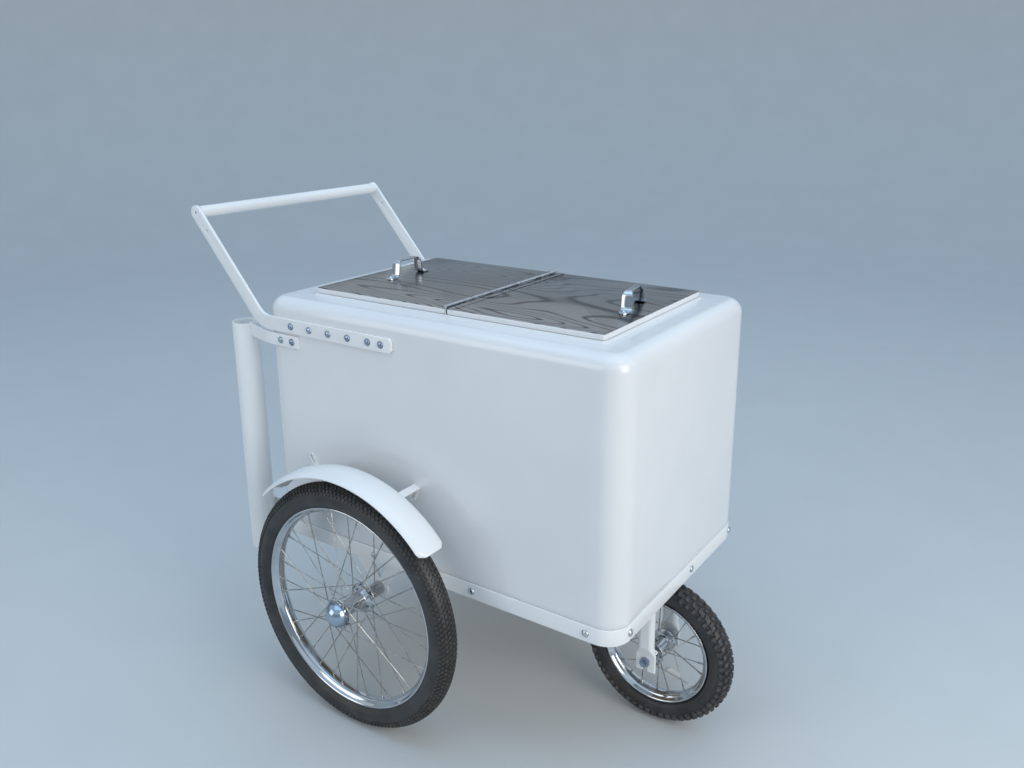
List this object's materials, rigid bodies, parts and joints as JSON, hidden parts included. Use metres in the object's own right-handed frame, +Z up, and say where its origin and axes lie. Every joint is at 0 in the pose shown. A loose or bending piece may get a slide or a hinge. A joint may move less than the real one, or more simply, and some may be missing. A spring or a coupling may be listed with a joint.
{
  "type": "push vending cart",
  "caption": "Insulated push vending cart with twin hinged lids, a flat-bar push handle, two large spoked rear wheels and a small swivelling front wheel.",
  "frame": {"origin": "on the ground, under the middle of the cart's overall box", "axes": "+X forward towards the front wheel, +Y to the cart's left, +Z up"},
  "size_m": [1.1514, 0.826, 1.0159],
  "materials": {
    "white_gelcoat": "glossy fibreglass gelcoat",
    "white_liner": "smooth gelcoat liner",
    "foam": "rigid insulation foam",
    "plywood": "sealed plywood",
    "white_paint": "glossy white enamel",
    "zinc_steel": "zinc plated",
    "stainless": "polished stainless",
    "mirror_stainless": "mirror polished stainless sheet",
    "chrome": "bright chrome plate",
    "spoke_steel": "galvanised wire",
    "bearing_steel": "ground bearing steel",
    "tyre_rubber": "black rubber",
    "clear_lens": "moulded reflector lens"
  },
  "bodies": {
    "cart": {"body_shell": "white_gelcoat", "inner_liner": "white_liner", "insulation_panels": "foam", "base_panel": "plywood", "base_rail": "white_paint", "rail_bolts": "zinc_steel", "steering_plate": "white_paint", "axle_plate": "white_paint", "centre_bar": "white_liner", "hinge_pin": "stainless", "hinge_base": "stainless", "right_handle_arm": "white_paint", "left_handle_arm": "white_paint", "push_bar": "white_paint", "arm_bolts": "zinc_steel", "umbrella_tube": "white_paint", "umbrella_strap": "white_paint", "umbrella_bracket": "white_paint", "strap_bolts": "zinc_steel", "right_axle_bracket": "white_paint", "left_axle_bracket": "white_paint", "right_stub_axle": "zinc_steel", "left_stub_axle": "zinc_steel", "axle_nuts": "zinc_steel", "right_fender": "white_paint", "left_fender": "white_paint", "right_fender_tabs": "white_paint", "left_fender_tabs": "white_paint", "thrust_bearing": "bearing_steel"},
    "rear_lid": {"rear_lid_panel": "white_gelcoat", "rear_lid_sheet": "mirror_stainless", "rear_hinge_leaf": "stainless", "rear_lid_pull": "chrome", "rear_pull_screws": "zinc_steel"},
    "front_lid": {"front_lid_panel": "white_gelcoat", "front_lid_sheet": "mirror_stainless", "front_hinge_leaf": "stainless", "front_lid_pull": "chrome", "front_pull_screws": "zinc_steel"},
    "right_wheel": {"right_tyre": "tyre_rubber", "right_rim": "chrome", "right_spokes": "spoke_steel", "right_hub": "chrome", "right_bearings": "bearing_steel", "right_hub_cap": "chrome"},
    "left_wheel": {"left_tyre": "tyre_rubber", "left_rim": "chrome", "left_spokes": "spoke_steel", "left_hub": "chrome", "left_bearings": "bearing_steel", "left_hub_cap": "chrome"},
    "fork": {"front_fork": "white_paint", "kingpin_nut": "zinc_steel", "front_axle": "zinc_steel", "front_axle_nuts": "zinc_steel"},
    "front_wheel": {"front_tyre": "tyre_rubber", "front_rim": "chrome", "front_spokes": "spoke_steel", "front_hub": "chrome", "spoke_reflector": "clear_lens"}
  },
  "joints": [
    {"name": "rear_lid_hinge", "type": "hinge", "parent": "cart", "child": "rear_lid", "pos_m": [0.04625, 0, 0.86], "axis": [0, 1, 0], "range_deg": [0, 78]},
    {"name": "front_lid_hinge", "type": "hinge", "parent": "cart", "child": "front_lid", "pos_m": [0.04625, 0, 0.86], "axis": [0, -1, 0], "range_deg": [0, 78]},
    {"name": "right_wheel_spin", "type": "hinge", "parent": "cart", "child": "right_wheel", "pos_m": [-0.09075, -0.352, 0.26], "axis": [0, 1, 0], "continuous": true},
    {"name": "left_wheel_spin", "type": "hinge", "parent": "cart", "child": "left_wheel", "pos_m": [-0.09075, 0.352, 0.26], "axis": [0, 1, 0], "continuous": true},
    {"name": "fork_swivel", "type": "hinge", "parent": "cart", "child": "fork", "pos_m": [0.37225, 0, 0.33], "axis": [0, 0, 1], "continuous": true},
    {"name": "front_wheel_spin", "type": "hinge", "parent": "fork", "child": "front_wheel", "pos_m": [0.41725, 0, 0.1585], "axis": [0, 1, 0], "continuous": true}
  ]
}
